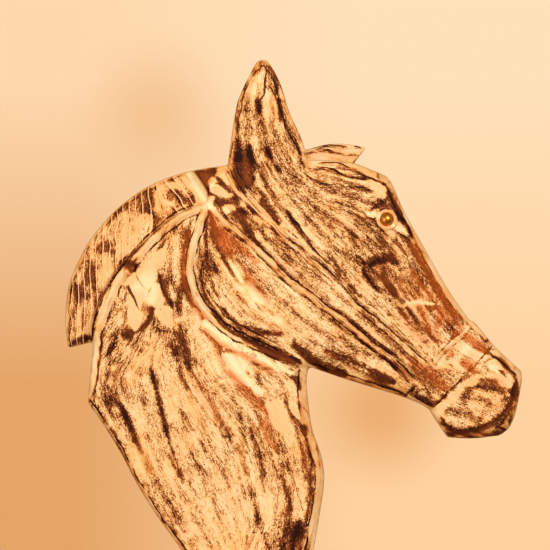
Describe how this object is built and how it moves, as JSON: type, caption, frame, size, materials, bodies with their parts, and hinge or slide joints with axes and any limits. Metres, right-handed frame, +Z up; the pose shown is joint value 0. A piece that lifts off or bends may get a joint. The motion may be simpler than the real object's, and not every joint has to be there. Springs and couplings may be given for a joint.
{
  "type": "carved wooden horse head",
  "caption": "Carved wooden horse head in dry-brushed cream over dark brown, with brass stud eyes. A shelf ornament: a bust that stands on its flat cut neck.",
  "frame": {"origin": "centre of the flat underside of the neck, which stands on the table", "axes": "+Z up; the horse looks along +X; Y is the thickness of the block, with the right flank, the one in the picture, on -Y"},
  "size_m": [0.3894, 0.0914, 0.4215],
  "materials": {
    "painted_wood": "cream paint dry-brushed over dark brown, satin, worn",
    "brass_stud": "polished, slightly aged"
  },
  "bodies": {
    "root": {"horse_head": "painted_wood", "eye_stud_right": "brass_stud", "eye_stud_left": "brass_stud"}
  },
  "joints": []
}
